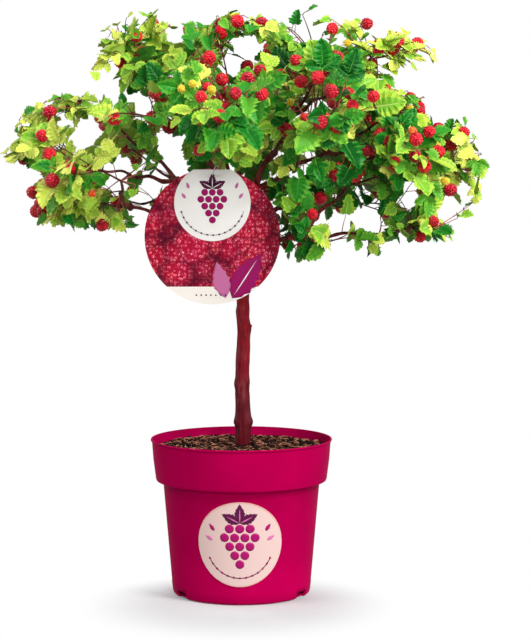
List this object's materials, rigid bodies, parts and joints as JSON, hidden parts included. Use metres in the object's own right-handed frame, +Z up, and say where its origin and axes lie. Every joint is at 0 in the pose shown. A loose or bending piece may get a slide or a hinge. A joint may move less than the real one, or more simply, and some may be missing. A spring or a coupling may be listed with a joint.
{
  "type": "standard raspberry bush in a nursery pot",
  "caption": "Round tapered pot of soil with one slim trunk, spreading boughs, a domed crown of toothed leaves and red berries, and a round hanging label.",
  "frame": {"origin": "middle of the pot's flat underside, which stands on the floor", "axes": "+Z up along the trunk, -Y towards the front with the label and the sticker, +X to the right seen from the front"},
  "size_m": [0.6091, 0.5888, 0.7285],
  "materials": {
    "pot": "crimson moulded plastic with a satin sheen",
    "soil": "loose brown peat with fibres and crumbs",
    "sticker": "speckled pale pink paper with a plain print",
    "label_card": "printed card, crimson with a cream foot",
    "label_disc": "white printed card",
    "tie": "thin white tie",
    "bark": "dark red-brown bark with pale grey ridges",
    "bough_bark": "dark reddish bark, browner outwards",
    "foliage": "fresh green toothed leaves with red berries"
  },
  "bodies": {
    "root": {"pot": "pot", "potting_soil": "soil", "pot_sticker": "sticker", "label_card": "label_card", "label_disc": "label_disc", "label_tie": "tie", "trunk": "bark", "bough_upright_right": "bough_bark", "bough_centre_left": "bough_bark", "bough_left_high": "bough_bark", "bough_left_low": "bough_bark", "bough_right_lowest": "bough_bark", "bough_back_centre": "bough_bark", "bough_back_right": "bough_bark", "bough_back_left": "bough_bark", "bough_right_mid": "bough_bark", "bough_top_right": "bough_bark", "bough_front_right": "bough_bark", "bough_top_centre": "bough_bark", "bough_front_left": "bough_bark", "bough_front_centre": "bough_bark", "bough_left_mid": "bough_bark", "bough_left_front": "bough_bark", "bough_right_low": "bough_bark", "bough_front_right_low": "bough_bark", "bough_right_front": "bough_bark", "bough_back_left_low": "bough_bark", "bough_back_right_low": "bough_bark", "bough_top_back_left": "bough_bark", "bough_top_back_right": "bough_bark", "foliage_top_right_centre": "foliage", "foliage_top_left": "foliage", "foliage_left_upper": "foliage", "foliage_left_low": "foliage", "foliage_right_low": "foliage", "foliage_back_centre": "foliage", "foliage_back_right": "foliage", "foliage_back_left": "foliage", "foliage_right_upper": "foliage", "foliage_top_right": "foliage", "foliage_front_right": "foliage", "foliage_top_centre": "foliage", "foliage_front_left": "foliage", "foliage_front_centre": "foliage", "foliage_far_left": "foliage", "foliage_left_front": "foliage", "foliage_far_right": "foliage", "foliage_front_right_low": "foliage", "foliage_right_front": "foliage", "foliage_back_left_low": "foliage", "foliage_back_right_low": "foliage", "foliage_top_back_left": "foliage", "foliage_top_back_right": "foliage"}
  },
  "joints": []
}
